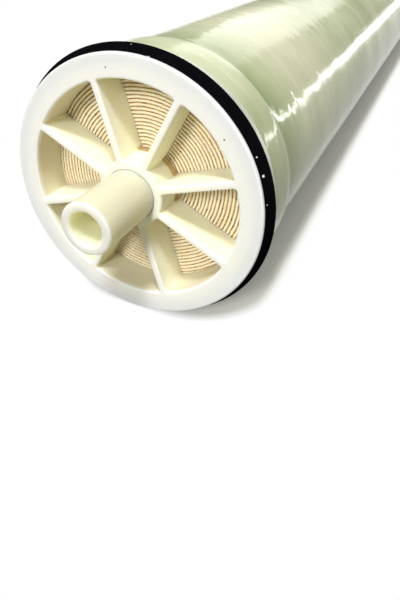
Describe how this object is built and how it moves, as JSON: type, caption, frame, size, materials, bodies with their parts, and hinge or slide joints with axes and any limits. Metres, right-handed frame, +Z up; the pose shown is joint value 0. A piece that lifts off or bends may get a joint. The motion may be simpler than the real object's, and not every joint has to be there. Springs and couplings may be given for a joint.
{
  "type": "spiral-wound reverse osmosis membrane element",
  "caption": "Long round membrane element: a sheet roll around a central tube, with spoked end caps, a lip seal at one end and a pale green glass-fibre wrap.",
  "frame": {"origin": "centre of the seal end cap's front face, on the axis of the permeate tube", "axes": "+Y along the element, from the seal end to the other end; +Z up; +X to the right, seen from the seal end"},
  "size_m": [0.1034, 1.016, 0.1034],
  "materials": {
    "tube_plastic": "ivory, satin",
    "cap_plastic": "white moulded plastic, satin",
    "seal_rubber": "black, satin",
    "glass_fibre_wrap": "pale green glass fibre in resin",
    "carrier_fabric": "fine knitted polyester",
    "tape": "translucent film tape",
    "membrane": "cream membrane with a cut edge",
    "spacer_net": "extruded net, brown in the shade of the roll"
  },
  "bodies": {
    "root": {"permeate_tube": "tube_plastic", "feed_end_cap": "cap_plastic", "concentrate_end_cap": "cap_plastic", "brine_seal": "seal_rubber", "outer_wrap": "glass_fibre_wrap", "core_wrap": "carrier_fabric", "roll_tape": "tape", "membrane_leaf_1": "membrane", "membrane_leaf_2": "membrane", "membrane_leaf_3": "membrane", "membrane_leaf_4": "membrane", "feed_spacer_1": "spacer_net", "feed_spacer_2": "spacer_net", "feed_spacer_3": "spacer_net", "feed_spacer_4": "spacer_net"}
  },
  "joints": []
}
